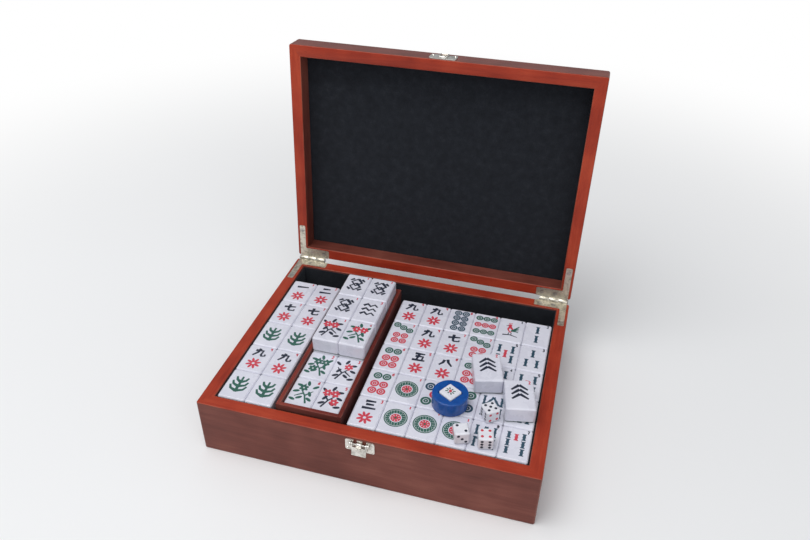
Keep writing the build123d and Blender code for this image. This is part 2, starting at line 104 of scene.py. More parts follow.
def blend_colours(tree, factor, first, second):
    made = add(tree, "Mix", data_type="RGBA")
    for socket, value in ((0, factor), (6, first), (7, second)):
        if isinstance(value, bpy.types.NodeSocket):
            tree.links.new(value, made.inputs[socket])
        else:
            made.inputs[socket].default_value = value if socket == 0 else (*value, 1)
    return made.outputs[2]


def noise(tree, vector, scale, detail=3, roughness=0.55, distortion=0.0):
    inputs = {"Vector": vector, "Scale": scale, "Detail": detail, "Roughness": roughness,
              "Distortion": distortion}
    return add(tree, "TexNoise", inputs).outputs[0]


def object_coordinates(tree):
    return add(tree, "TexCoord").outputs["Object"]


def bump(tree, shader, height, strength, distance):
    made = add(tree, "Bump", {"Height": height, "Strength": strength, "Distance": distance})
    tree.links.new(made.outputs[0], shader.inputs["Normal"])


def band(tree, value, low, high):
    """0 below low, 1 above high and a smooth rise between them."""
    inputs = {0: value, 1: low, 2: high, 3: 0.0, 4: 1.0}
    return add(tree, "MapRange", inputs, interpolation_type="SMOOTHSTEP").outputs[0]


# ---------------------------------------------------------------- wood
LID_OPEN_ANGLE = 94.5
# Lit and shaded copies of one wood: the rim tones are lighter and redder, as painted light on faces turned up
# to the light; the face tones are darker and browner, as painted shade on the sides.
FACE_TONES = ((0.110, 0.027, 0.019), (0.172, 0.046, 0.033), (0.235, 0.074, 0.052))
LIT_RIM_TONES = ((0.24, 0.024, 0.012), (0.35, 0.039, 0.017), (0.45, 0.064, 0.027))
TRAY_TONES = ((0.090, 0.024, 0.020), (0.140, 0.040, 0.033), (0.190, 0.062, 0.050))
TRAY_LIT_RIM_TONES = ((0.100, 0.016, 0.013), (0.175, 0.028, 0.022), (0.250, 0.050, 0.036))
PORE_COLOUR = (0.020, 0.006, 0.004)
# Lighter pink for rounded edges: partly rubbed wear, partly a painted edge highlight.
WORN_AND_HIGHLIGHT_COLOUR = (0.42, 0.16, 0.10)
STRETCH = 15.0
FIGURE_SCALE = 15.0
STREAK_SCALE = 110.0
PORE_SCALE = 330.0
STAIN_SCALE = 26.0
FIGURE_SHARE = 0.65
STREAK_SHARE = 0.3
STAIN_SHARE = 0.95
TONE_SHIFT = -0.46
TONE_SPOTS = (0.22, 0.5, 0.8)
WEAR_AND_HIGHLIGHT_STRENGTH = 0.4
PORE_STRENGTH = 0.55


def wood(name, grain, rim, seed, tones=FACE_TONES, lit_rim_tones=LIT_RIM_TONES, turned=0.0):
    """Lacquered mahogany. grain is the axis (0 to 2) the fibres run along and rim the way the sawn edge
    faces, 1 up or -1 down, both with the lid shut; turned is how far the piece is opened from there.
    Faces turned the rim's way get the rim's tones, a lighter, redder copy of the wood as painted light
    from above; the other faces get tones, a darker copy of it as painted shade."""
    material, tree, shader = new_material(name, Specular_IOR_Level=0.18, Coat_Weight=0.05,
                                          Coat_Roughness=0.22)
    undo = (radians(turned), 0, 0)
    upright = add(tree, "Mapping", {0: object_coordinates(tree), 2: undo}).outputs[0]
    squeeze = [STRETCH] * 3
    squeeze[grain] = 1.0
    fibres = add(tree, "Mapping", {0: upright, 1: (seed, seed * 0.7, -seed), 3: squeeze}).outputs[0]
    figure = noise(tree, fibres, FIGURE_SCALE, 5, 0.6, 0.8)
    streaks = noise(tree, fibres, STREAK_SCALE, 3, 0.6)
    pores = band(tree, noise(tree, fibres, PORE_SCALE, 2), 0.64, 0.74)
    stain = noise(tree, upright, STAIN_SCALE, 2)
    tone = maths(tree, "MULTIPLY_ADD", figure, FIGURE_SHARE, TONE_SHIFT)
    tone = maths(tree, "MULTIPLY_ADD", streaks, STREAK_SHARE, tone)
    tone = maths(tree, "MULTIPLY_ADD", stain, STAIN_SHARE, tone)
    face = ramp(tree, tone, *zip(TONE_SPOTS, tones))
    edge = ramp(tree, tone, *zip(TONE_SPOTS, lit_rim_tones))

    normal = add(tree, "NewGeometry").outputs["Normal"]
    normal = add(tree, "VectorTransform", {0: normal}, vector_type="NORMAL", convert_to="OBJECT").outputs[0]
    normal = add(tree, "Mapping", {0: normal, 2: undo}, vector_type="NORMAL").outputs[0]
    parts = add(tree, "SeparateXYZ", {0: normal}).outputs
    # Painted light: faces turned the rim's way get the lighter rim colour, and the others the darker face
    # colour as painted shade.
    lit_rim_side = band(tree, maths(tree, "MULTIPLY", parts[2], float(rim)), 0.45, 0.8)
    colour = blend_colours(tree, lit_rim_side, face, edge)
    # Rounded edges, where the normal is off the main axes, turn lighter and pinker in streaks: partly rubbed
    # wear, partly a painted edge highlight.
    sizes = [maths(tree, "ABSOLUTE", part) for part in parts]
    flatness = maths(tree, "MAXIMUM", maths(tree, "MAXIMUM", sizes[0], sizes[1]), sizes[2])
    rounded = band(tree, maths(tree, "SUBTRACT", 1.0, flatness), 0.03, 0.22)
    wear_and_highlight = maths(tree, "MULTIPLY", rounded, band(tree, streaks, 0.35, 0.65))
    colour = blend_colours(tree, maths(tree, "MULTIPLY", wear_and_highlight, WEAR_AND_HIGHLIGHT_STRENGTH), colour, WORN_AND_HIGHLIGHT_COLOUR)
    colour = blend_colours(tree, maths(tree, "MULTIPLY", pores, PORE_STRENGTH), colour, PORE_COLOUR)
    tree.links.new(colour, shader.inputs["Base Color"])
    tree.links.new(maths(tree, "MULTIPLY_ADD", streaks, 0.25, 0.24), shader.inputs["Roughness"])
    bump(tree, shader, maths(tree, "SUBTRACT", streaks, pores), 0.12, 0.0004)
    return material


# ---------------------------------------------------------------- felt, metal, plastics and inks
def felt():
    material, tree, shader = new_material("felt_cloth", Roughness=1.0, Specular_IOR_Level=0.12,
                                          Sheen_Weight=0.12, Sheen_Roughness=0.6,
                                          Sheen_Tint=(0.7, 0.75, 0.85, 1))
    place = object_coordinates(tree)
    fuzz = noise(tree, place, 1500, 4, 0.75)
    clumps = noise(tree, place, 180, 3)
    nap = maths(tree, "MULTIPLY_ADD", clumps, 0.5, maths(tree, "MULTIPLY", fuzz, 0.5))
    colour = ramp(tree, nap, (0.3, (0.0060, 0.0070, 0.0095)), (0.55, (0.0125, 0.0145, 0.0190)),
                  (0.75, (0.0240, 0.0270, 0.0330)))
    tree.links.new(colour, shader.inputs["Base Color"])
    bump(tree, shader, fuzz, 0.6, 0.0004)
    return material


def metal(name, bright, dull, roughness):
    """Plated pressed steel, a little tarnished, with a fine rolled grain."""
    material, tree, shader = new_material(name, Metallic=1.0)
    place = object_coordinates(tree)
    rolled = noise(tree, add(tree, "Mapping", {0: place, 3: (1, 12, 12)}).outputs[0], 900, 3, 0.6)
    tarnish = band(tree, noise(tree, place, 260, 4, 0.65), 0.42, 0.68)
    tree.links.new(blend_colours(tree, tarnish, bright, dull), shader.inputs["Base Color"])
    rough = maths(tree, "MULTIPLY_ADD", tarnish, 0.14, roughness - 0.04)
    tree.links.new(maths(tree, "MULTIPLY_ADD", rolled, 0.08, rough), shader.inputs["Roughness"])
    bump(tree, shader, rolled, 0.08, 0.0001)
    return material


TILE_BACK_GREEN = (0.03, 0.10, 0.065)
TILE_BACK_SHARE = (0.085, 0.1)


def tile_body():
    """White melamine with faint clouding, on a thin green back."""
    material, tree, shader = new_material("tile_melamine", Specular_IOR_Level=0.5, Coat_Weight=0.15,
                                          Coat_Roughness=0.12)
    place = object_coordinates(tree)
    height = add(tree, "SeparateXYZ", {0: add(tree, "TexCoord").outputs["Generated"]}).outputs[2]
    clouds = noise(tree, place, 70, 4, 0.6)
    white = ramp(tree, clouds, (0.3, (0.66, 0.66, 0.75)), (0.7, (0.74, 0.74, 0.82)))
    colour = blend_colours(tree, band(tree, height, *TILE_BACK_SHARE), TILE_BACK_GREEN, white)
    tree.links.new(colour, shader.inputs["Base Color"])
    tree.links.new(maths(tree, "MULTIPLY_ADD", clouds, 0.15, 0.2), shader.inputs["Roughness"])
    bump(tree, shader, noise(tree, place, 1200, 2), 0.04, 0.0001)
    return material


def plastic(name, deep, light, roughness, scale=300):
    """Moulded plastic or paint with a slight unevenness."""
    material, tree, shader = new_material(name, Specular_IOR_Level=0.5)
    place = object_coordinates(tree)
    mottle = noise(tree, place, scale, 3, 0.6)
    tree.links.new(ramp(tree, mottle, (0.3, deep), (0.7, light)), shader.inputs["Base Color"])
    tree.links.new(maths(tree, "MULTIPLY_ADD", mottle, 0.15, roughness - 0.07), shader.inputs["Roughness"])
    bump(tree, shader, mottle, 0.05, 0.0001)
    return material


FELT = felt()
HINGE_METAL = metal("hinge_nickel", (0.74, 0.70, 0.60), (0.42, 0.39, 0.32), 0.34)
LATCH_METAL = metal("latch_nickel", (0.84, 0.81, 0.75), (0.52, 0.50, 0.46), 0.30)
PIN_METAL = metal("pin_steel", (0.62, 0.60, 0.56), (0.34, 0.32, 0.29), 0.28)
TILE_BODY = tile_body()
HOLDER_BLUE = plastic("holder_blue", (0.004, 0.058, 0.270), (0.007, 0.086, 0.350), 0.22)
DICE_WHITE = plastic("dice_white", (0.72, 0.72, 0.78), (0.80, 0.80, 0.85), 0.2)
INKS = {
    "black": plastic("ink_black", (0.010, 0.014, 0.030), (0.022, 0.030, 0.055), 0.4, 900),
    "red": plastic("ink_red", (0.52, 0.035, 0.065), (0.66, 0.070, 0.100), 0.4, 900),
    "green": plastic("ink_green", (0.018, 0.085, 0.065), (0.035, 0.140, 0.105), 0.4, 900),
    "blue": plastic("ink_blue", (0.016, 0.050, 0.085), (0.030, 0.085, 0.125), 0.4, 900),
    "white": plastic("ink_white", (0.60, 0.62, 0.66), (0.70, 0.71, 0.76), 0.3, 900),
}
INK_ORDER = list(INKS)


# ---------------------------------------------------------------- dressing the CAD nodes
SOFT_ANGLE = 30
SOFT_SEGMENTS = 2
WELD_DISTANCE = 0.002
BOARD_EDGE = 0.12
LID_TOP_EDGE = 0.15
METAL_EDGE = 0.12
FASTENER_EDGE = 0.06
TILE_EDGE = 0.35
HOLDER_EDGE = 0.3


def soften(node, width):
    """Rounds the sharp edges of a carried-over solid slightly, so that they catch the light."""
    weld = node.modifiers.new("weld", "WELD")
    weld.merge_threshold = WELD_DISTANCE * MM
    bevel = node.modifiers.new("soft_edges", "BEVEL")
    bevel.width = width * MM
    bevel.segments = SOFT_SEGMENTS
    bevel.limit_method = "ANGLE"
    bevel.angle_limit = radians(SOFT_ANGLE)
    bevel.harden_normals = True


def dress(name, material, edge=0.0):
    node = NODES[name]
    for place in node.material_slots:
        place.material = material
    if edge:
        soften(node, edge)


BOARD_GRAIN = {"front": 0, "back": 0, "left": 1, "right": 1}
for number, (side, grain) in enumerate(BOARD_GRAIN.items()):
    seed = 1.7 * number + 0.4
    dress(f"base_{side}_wall", wood(f"base_{side}_wood", grain, 1, seed), BOARD_EDGE)
    lid_wood = wood(f"lid_{side}_wood", grain, -1, seed + 9, turned=LID_OPEN_ANGLE)
    dress(f"lid_{side}_rail", lid_wood, BOARD_EDGE)
    dress(f"base_{side}_lining", FELT)
dress("base_floor_panel", wood("base_floor_wood", 0, 0, 21))
dress("lid_top_panel", wood("lid_top_wood", 0, 0, 24, turned=LID_OPEN_ANGLE), LID_TOP_EDGE)
dress("base_floor_lining", FELT)
dress("lid_lining", FELT)

TRAY_GRAIN = {"left_side": 1, "right_side": 1, "front_end": 0, "back_end": 0, "bottom": 1}
for number, (board, grain) in enumerate(TRAY_GRAIN.items()):
    tray_wood = wood(f"tray_{board}_wood", grain, 1, 31 + 2.3 * number, TRAY_TONES, TRAY_LIT_RIM_TONES)
    dress(f"tray_{board}", tray_wood, BOARD_EDGE)

for side in ("left", "right"):
    dress(f"{side}_hinge_base_leaf", HINGE_METAL, METAL_EDGE)
    dress(f"{side}_hinge_lid_leaf", HINGE_METAL, METAL_EDGE)
    dress(f"{side}_hinge_pin", PIN_METAL, METAL_EDGE)
for fasteners in ("base_hinge_screws", "lid_hinge_screws", "latch_pin"):
    dress(fasteners, PIN_METAL, FASTENER_EDGE)
for plate in ("latch_plate", "catch_plate", "latch_lever"):
    dress(plate, LATCH_METAL, METAL_EDGE)
for small in ("latch_loop", "latch_plate_nails", "catch_plate_nails"):
    dress(small, LATCH_METAL)

for block in ("left", "tray", "right"):
    for layer in ("lower", "middle", "upper"):
        dress(f"{block}_tiles_{layer}", TILE_BODY, TILE_EDGE)
dress("loose_tile_back", TILE_BODY, TILE_EDGE)
dress("loose_tile_front", TILE_BODY, TILE_EDGE)
dress("wind_holder", HOLDER_BLUE, HOLDER_EDGE)
for cube in ("wind_die", "die_front_left", "die_front_right", "die_back"):
    dress(cube, DICE_WHITE, TILE_EDGE)


# ---------------------------------------------------------------- flat shapes, in millimetres
def ribbon(points, start, finish):
    """A brush stroke along the points, as quads that narrow from start to finish."""
    spots = [Vector(p) for p in points]
    lengths = [0.0]
    for a, b in zip(spots, spots[1:]):
        lengths.append(lengths[-1] + (b - a).length)
    edges = []
    for i, spot in enumerate(spots):
        before = (spot - spots[i - 1]).normalized() if i else None
        after = (spots[i + 1] - spot).normalized() if i + 1 < len(spots) else None
        way = ((before or after) + (after or before)).normalized()
        across = Vector((-way.y, way.x)) * (start + (finish - start) * lengths[i] / lengths[-1]) / 2
        edges.append((spot + across, spot - across))
    return [[a[0], a[1], b[1], b[0]] for a, b in zip(edges, edges[1:])]


def oval(x, y, across, along=None, turn=0.0, sides=20):
    along = along or across
    c, s = cos(radians(turn)), sin(radians(turn))
    rim = [(across * cos(2 * pi * i / sides), along * sin(2 * pi * i / sides)) for i in range(sides)]
    return [[Vector((x + c * a - s * b, y + s * a + c * b)) for a, b in rim]]


def ring(x, y, outer, inner, sides=28):
    rims = []
    for radius in (outer, inner):
        rims.append([Vector((x + radius * cos(2 * pi * i / sides), y + radius * sin(2 * pi * i / sides)))
                     for i in range(sides)])
    return [[rims[0][i - 1], rims[0][i], rims[1][i], rims[1][i - 1]] for i in range(sides)]


def around(x, y, count, reach, first=0.0):
    """Places at equal turns round a point, each with its direction."""
    for i in range(count):
        turn = first + 360 * i / count
        yield x + reach * cos(radians(turn)), y + reach * sin(radians(turn)), turn


def coin(x, y, radius, ink):
    """One small circle of the circle suit: a heavy rim and a nearly filled centre."""
    return [(ink, ring(x, y, radius, 0.58 * radius)), (ink, oval(x, y, 0.46 * radius, sides=14)),
            ("white", oval(x, y, 0.13 * radius, sides=8))]


def rosette(x, y, radius):
    """The single large circle: a speckled green band round a red flower."""
    marks = [("green", ring(x, y, radius, 0.52 * radius, 40)),
             ("white", ring(x, y, 0.90 * radius, 0.86 * radius, 40))]
    for reach, count in ((0.77, 20), (0.63, 16)):
        for a, b, turn in around(x, y, count, reach * radius, 9 * reach):
            marks.append(("white", oval(a, b, 0.045 * radius, 0.03 * radius, turn, 8)))
    marks.append(("red", oval(x, y, 0.44 * radius, sides=28)))
    for a, b, turn in around(x, y, 8, 0.29 * radius):
        marks.append(("white", oval(a, b, 0.09 * radius, 0.03 * radius, turn, 10)))
    return marks + [("green", oval(x, y, 0.11 * radius, sides=12))]


def cane(x, y, height, width, ink, turn=0.0):
    """One stick of bamboo with its joints."""
    c, s = cos(radians(turn)), sin(radians(turn))
    half, waist = height / 2, 0.62 * width / 2
    swell = width / 2
    outline = [(-half, swell), (-0.82 * half, swell), (-0.7 * half, waist), (-0.12 * half, waist), (0, swell),
               (0.12 * half, waist), (0.7 * half, waist), (0.82 * half, swell), (half, swell)]
    quads = []
    for (a, wide), (b, next_wide) in zip(outline, outline[1:]):
        corners = ((-wide, a), (wide, a), (next_wide, b), (-next_wide, b))
        quads.append([Vector((x + c * u - s * v, y + s * u + c * v)) for u, v in corners])
    return [(ink, quads)]


def strokes(lines, ink, x=0.0, y=0.0, size=1.0, start=1.5, finish=0.7):
    marks = []
    for line in lines:
        placed = [(x + size * a, y + size * b) for a, b in line]
        marks.append((ink, ribbon(placed, start * size, finish * size)))
    return marks


# ---------------------------------------------------------------- the faces
CIRCLES = {
    2: [(0, 6, "green"), (0, -6, "red")],
    3: [(-5, 8, "blue"), (0, 0, "red"), (5, -8, "green")],
    4: [(-4.2, 6.2, "blue"), (4.2, 6.2, "green"), (-4.2, -6.2, "green"), (4.2, -6.2, "blue")],
    5: [(-4.6, 7.2, "blue"), (4.6, 7.2, "green"), (0, 0, "red"), (-4.6, -7.2, "green"), (4.6, -7.2, "blue")],
    6: [(x, 7.6, "green") for x in (-3.3, 3.3)] + [(x, y, "red") for x in (-3.3, 3.3) for y in (-0.6, -7.4)],
    7: [(-5.4, 10, "green"), (0, 7.6, "green"), (5.4, 5.2, "green")]
    + [(x, y, "red") for x in (-3.1, 3.1) for y in (-1.6, -7.8)],
    8: [(x, y, "blue") for x in (-3.1, 3.1) for y in (9.3, 3.1, -3.1, -9.3)],
    9: [(x, y, ink) for x in (-5.7, 0, 5.7) for y, ink in ((8, "green"), (0, "red"), (-8, "green"))],
}
CIRCLE_RADIUS = {2: 5.2, 3: 4.1, 4: 4.0, 5: 3.8, 6: 3.2, 7: 2.9, 8: 3.0, 9: 2.8}
CANES = {
    2: [(0, 5.4, "blue"), (0, -5.4, "blue")],
    3: [(0, 5.4, "blue"), (-4, -5.4, "blue"), (4, -5.4, "blue")],
    4: [(x, y, "blue") for x in (-4, 4) for y in (5.4, -5.4)],
    5: [(x, y, "blue") for x in (-5, 5) for y in (5.4, -5.4)] + [(0, 0, "red")],
    6: [(x, y, "blue") for x in (-5, 0, 5) for y in (5.4, -5.4)],
    7: [(x, y, "blue") for x in (-5, 5) for y in (6.6, 0, -6.6)] + [(0, 5.4, "red")],
    9: [(x, y, "red" if x == 0 else "blue") for x in (-5, 0, 5) for y in (7.4, 0, -7.4)],
}
CANE_HEIGHT = {2: 8.2, 3: 8.2, 4: 8.2, 5: 8.2, 6: 8.2, 7: 5.8, 9: 6.2}
CANE_WIDTH = 3.1
# Plain numbers in their traditional form.
NUMERALS = {
    1: [[(-4.4, -0.3), (4.4, 0.6)]],
    2: [[(-2.8, 2.2), (2.8, 2.6)], [(-4.4, -2.4), (4.4, -1.8)]],
    3: [[(-3.4, 3), (3.2, 3.4)], [(-2.6, 0.2), (2.6, 0.5)], [(-4.4, -3), (4.4, -2.6)]],
    4: [[(-3.8, 2.8), (-3.8, -3)], [(-3.8, 2.8), (3.8, 2.8), (3.8, -3)], [(-3.8, -2.8), (3.8, -2.8)],
        [(-1.2, 2.6), (-1.8, -0.8)], [(1.2, 2.6), (1.4, -0.6), (2.8, -0.8)]],
    5: [[(-3.4, 3.2), (3.4, 3.4)], [(-0.4, 3.2), (-1.4, -3)], [(-2.8, 0.6), (2.6, 0.8), (2.2, -3)],
        [(-4.4, -3.2), (4.4, -3)]],
    6: [[(-0.4, 4), (0.6, 2.6)], [(-4.4, 1.2), (4.4, 1.6)], [(-1.4, -0.2), (-3.8, -3.8)],
        [(1.2, -0.2), (3.6, -3.6)]],
    7: [[(-4.2, 0.2), (4.2, 1.6)], [(-0.6, 3.8), (-0.4, -2.4), (0.4, -3.2), (3.8, -2.8), (4, -1.4)]],
    8: [[(-1.2, 2.2), (-1.8, -0.6), (-4.2, -3.4)], [(0.8, 3), (1.8, 0), (4.6, -3.2)]],
    9: [[(-0.8, 3.8), (-1.4, 0), (-4.2, -3.6)],
        [(-3.6, 1.6), (1.8, 2), (1.4, -2), (2.2, -3.2), (4.4, -2.6), (4.2, -1)]],
}
NUMERAL_Y = 6.4


def both_sides(*halves):
    """Each stroke with its mirror image across the upright middle line."""
    return [line for half in halves for line in (half, [(-x, y) for x, y in half])]


def diamond(reach, height, y=0.0):
    return [(0, y + height), (reach, y), (0, y - height), (-reach, y), (0, y + height)]


# The suit, the winds and the dragons carry plain ornaments in place of lettering.
SUIT_FIGURE_Y = -5.6
SUIT_FIGURE_REACH = 3.3
SUIT_PETALS = 8
LINKED_DIAMONDS = [diamond(3.8, 4.1, 2.5), diamond(3.8, 4.1, -2.5)] + both_sides(
    [(2.8, 6.4), (5.4, 4.2)], [(2.8, -6.4), (5.4, -4.2)])
CHEVRONS = both_sides([(0, 6.6), (5, 2.6)], [(0, 2.8), (5, -1.2)], [(0, -1), (5, -5)])
WAVES = [[(-5, y - 1), (-2.5, y + 1.2), (0, y - 1), (2.5, y + 1.2), (5, y - 1)] for y in (4.6, 0, -4.6)]
SUNBURST = [diamond(1.6, 2.0), [(0, 3.4), (0, 6.8)], [(0, -3.4), (0, -6.8)]] + both_sides(
    [(2.8, 0), (5.4, 0)], [(2.2, 2.8), (4.4, 5.6)], [(2.2, -2.8), (4.4, -5.6)])
WIND_FIGURES = {1: LINKED_DIAMONDS, 2: CHEVRONS, 3: WAVES, 4: SUNBURST}
TASSEL_KNOT = [diamond(5.0, 5.6), diamond(2.4, 2.8), [(0, 8.4), (0, 5.6)], [(0, -5.6), (0, -8.6)]]
TASSEL_KNOT += both_sides([(1.0, -6.2), (1.8, -8.4)])
SPRIG = [[(0, -7), (0, 7)]] + both_sides(
    [(0.4, -5.8), (4.2, -4.2), (5.6, -1.2)], [(0.4, -1.8), (4.0, -0.2), (5.2, 2.6)],
    [(0.4, 2.2), (3.0, 3.8), (4.0, 6.4)])
DIGITS = {
    1: [[(0, 1), (0, -1)]],
    2: [[(-0.5, 0.7), (0, 1), (0.5, 0.6), (-0.5, -1), (0.55, -1)]],
    3: [[(-0.5, 1), (0.5, 1), (0, 0.2), (0.5, -0.4), (0, -1), (-0.5, -0.8)]],
    4: [[(0.3, -1), (0.3, 1), (-0.5, -0.3), (0.6, -0.3)]],
    5: [[(0.5, 1), (-0.4, 1), (-0.4, 0.2), (0.4, 0.1), (0.4, -0.8), (-0.5, -1)]],
    6: [[(0.4, 1), (-0.4, 0), (-0.4, -0.9), (0.4, -0.9), (0.4, 0), (-0.3, 0)]],
    7: [[(-0.5, 1), (0.5, 1), (-0.1, -1)]],
    8: [[(0, 0.1), (0.5, 0.6), (0, 1), (-0.5, 0.6), (0, 0.1), (0.5, -0.5), (0, -1), (-0.5, -0.5), (0, 0.1)]],
    9: [[(0.4, 0.2), (-0.4, 0.2), (-0.4, 1), (0.4, 1), (0.3, -1)]],
}
INDEX_PLACE = (7.2, 11.2)


def index_mark(number, ink):
    return strokes(DIGITS[number], ink, *INDEX_PLACE, size=1.2, start=0.8, finish=0.7)


def circle_face(number):
    if number == 1:
        return rosette(0, 0, 8.1)
    marks = []
    for x, y, ink in CIRCLES[number]:
        marks += coin(x, y, CIRCLE_RADIUS[number], ink)
    return marks


def bird():
    """A plain crested bird on a branch, which stands for the first bamboo."""
    breast = [(-1, 4.4), (-2.4, 0.6), (-0.4, -3)]
    back = [(-0.8, 3.6), (1.4, 0.4), (-0.2, -3)]
    marks = strokes([breast, back], "red", start=2.2)
    marks += [("red", oval(-1.2, 5.4, 1.5)), ("red", oval(-1.9, 7.7, 0.6)), ("red", oval(-0.4, 7.9, 0.6))]
    marks += strokes([[(-2.4, 5.2), (-4.4, 4.6)]], "black", start=1.0, finish=0.2)
    for reach in (-4, -1.6, 0.8, 3.2):
        feather = [(0.4, -1), (3.6, reach * 0.5 + 1), (5.8, reach + 2.4)]
        marks += strokes([feather], "green", start=1.5, finish=0.8)
    marks += strokes([[(-1, -3), (-1.6, -5.8)], [(0.6, -3), (0.8, -5.8)]], "black", start=0.7, finish=0.6)
    return marks + strokes([[(-5.6, -6.6), (0, -5.8), (5.8, -7.4)]], "black", start=1.3, finish=0.6)


def bamboo_face(number):
    if number == 1:
        return bird()
    if number == 8:
        marks = []
        for y, lean in ((5.2, 1), (-5.2, -1)):
            for x, turn in ((-6, 0), (-2.1, -32 * lean), (2.1, 32 * lean), (6, 0)):
                marks += cane(x, y, 8.6, 2.5, "blue", turn)
        return marks
    marks = []
    for x, y, ink in CANES[number]:
        marks += cane(x, y, CANE_HEIGHT[number], CANE_WIDTH, ink)
    return marks


def character_face(number):
    marks = strokes(NUMERALS[number], "black", y=NUMERAL_Y, size=1.08, start=2.2, finish=1.3)
    for x, y, turn in around(0, SUIT_FIGURE_Y, SUIT_PETALS, SUIT_FIGURE_REACH, 180 / SUIT_PETALS):
        marks.append(("red", oval(x, y, 2.4, 1.0, turn, 12)))
    return marks


def wind_face(number):
    return strokes(WIND_FIGURES[number], "black", y=1.2, size=1.12, start=2.2, finish=1.2)


def dragon_face(number):
    if number == 1:
        return strokes(TASSEL_KNOT, "red", start=1.7, finish=1.3)
    if number == 2:
        return strokes(SPRIG, "green", size=1.1, start=2.3, finish=1.3)
    marks = []
    for x, y in ((7.2, 11), (5.4, 9.2)):
        frame_line = [[(-x, -y), (x, -y)], [(x, -y), (x, y)], [(x, y), (-x, y)], [(-x, y), (-x, -y)]]
        marks += strokes(frame_line, "blue", start=0.9, finish=0.9)
    return marks


def flower_face(number):
    """A spray of blossom; the number sets its lean, its colours and how many blooms it has."""
    lean = (-1, 1)[number % 2]
    leaf, bloom = (("green", "red"), ("black", "red"), ("green", "green"), ("black", "red"))[number % 4]
    marks = strokes([[(-4.5 * lean, -9.5), (-1.5 * lean, -2.5), (2.8 * lean, 3), (1.2 * lean, 8.5)],
                     [(-1.5 * lean, -2.5), (-6 * lean, 2.5)], [(0, -0.5), (5.5 * lean, -4.5)]],
                    leaf, start=1.4, finish=0.7)
    for x, y, turn in ((-5.4, -5.6, 30), (1.8, -5.2, -35), (5.8, 0.4, -20), (-4.4, -0.6, 60), (4.8, 6.4, 10),
                       (-0.6, 9.2, 70), (6.2, -7.4, 15), (-6.6, 6.6, -40)):
        marks.append((leaf, oval(x * lean, y, 2.5, 1.15, turn * lean, 14)))
    blooms = ((1.6, 4.4), (-4.2, 4.4), (3.0, -3.4))[:1 + number % 3]
    for x, y in blooms:
        for a, b, turn in around(x * lean, y, 6, 1.9, 15 * number):
            marks.append((bloom, oval(a, b, 1.6, 1.05, turn, 12)))
        marks.append(("white", oval(x * lean, y, 0.7, sides=10)))
    return marks


SUITS = {
    "c": circle_face,
    "b": bamboo_face,
    "w": character_face,
    "e": wind_face,
    "d": dragon_face,
    "f": flower_face,
}


def tile_face(code):
    """All marks of one face, by its suit's letter and its number."""
    suit, number = code[0], int(code[1:])
    marks = list(SUITS[suit](number))
    if suit != "d":
        marks += index_mark((number - 1) % 9 + 1, "black" if suit == "b" else "red")
    return marks


MARK_LIFT = 0.02
MARK_STEP = 0.0006


def make_piece(name, shape, body):
    """Makes a piece in the inks from a finished shape."""
    mesh = bpy.data.meshes.new(name)
    shape.to_mesh(mesh)
    shape.free()
    for ink in INK_ORDER:
        mesh.materials.append(INKS[ink])
    piece = bpy.data.objects.new(name, mesh)
    bpy.context.scene.collection.objects.link(piece)
    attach(piece, body)


def print_marks(name, body, top, tiles):
    """Prints marks on flat tops. Each of tiles is (marks, x, y, turn), with its middle in millimetres; top
    is in metres."""
    shape = bmesh.new()
    for marks, x, y, turn in tiles:
        c, s = cos(radians(turn)), sin(radians(turn))
        for number, (ink, polygons) in enumerate(marks):
            z = top + (MARK_LIFT + MARK_STEP * number) * MM
            for polygon in polygons:
                corners = []
                for p in polygon:
                    place = ((x + c * p.x - s * p.y) * MM, (y + s * p.x + c * p.y) * MM, z)
                    corners.append(shape.verts.new(place))
                face = shape.faces.new(corners)
                face.material_index = INK_ORDER.index(ink)
                face.normal_update()
                if face.normal.z < 0:
                    face.normal_flip()
    make_piece(name, shape, body)


def print_faces(name, body, top, tiles):
    print_marks(name, body, top, [(tile_face(code), x, y, turn) for code, x, y, turn in tiles])


# ---------------------------------------------------------------- which face lies where, back row first
RIGHT_TOP = [
    "w9 w9 c8 c9 b1 b2",
    "c7 w9 w7 c7 b5 b3",
    "c6 w5 w8 c6 b4 b5",
    "c6 c1 c5 c4 b8 b6",
    "w3 c1 c1 c1 b8 b7",
]
LEFT_TOP = ["w1 w2", "w7 w7", "d2 d2", "w9 w9", "d2 d2"]
TRAY_TOP = ["e1 e1", "e1 e3", "f1 f4"]
TRAY_BELOW = ["e2 e4", "e3 e2", "e4 d1", "f2 f3", "f6 f5"]
PLAIN_DECK = [f"{suit}{number}" for number in range(1, 10) for suit in "wcb"]
PLAIN_DECK += ["e1", "e2", "e3", "e4", "d1", "d3"]
DECK_STEP = 7
DECK_START = 5
TILE_SIZE = (20.0, 28.0)


def layer_faces(block, layer, rows=None, first=0):
    """Prints a layer's faces, from rows of codes or from the plain deck."""
    name = f"{block}_tiles_{layer}"
    low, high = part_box(name)
    wide, deep = TILE_SIZE
    columns = round((high.x - low.x) / MM / wide)
    lines = round((high.y - low.y) / MM / deep)
    if rows is None:
        count = columns * lines
        deck = [PLAIN_DECK[(first + DECK_STEP * i) % len(PLAIN_DECK)] for i in range(count)]
        rows = [deck[i * columns:(i + 1) * columns] for i in range(lines)]
    else:
        rows = [row.split() for row in rows]
    step_x = (high.x - low.x - wide * MM) / max(columns - 1, 1) / MM
    step_y = (high.y - low.y - deep * MM) / max(lines - 1, 1) / MM
    tiles = []
    for line, row in enumerate(rows):
        for column, code in enumerate(row):
            x = low.x / MM + wide / 2 + column * step_x
            y = high.y / MM - deep / 2 - line * step_y
            tiles.append((code, x, y, 0))
    print_faces(f"{name}_faces", f"{block}_{layer}_layer", high.z, tiles)


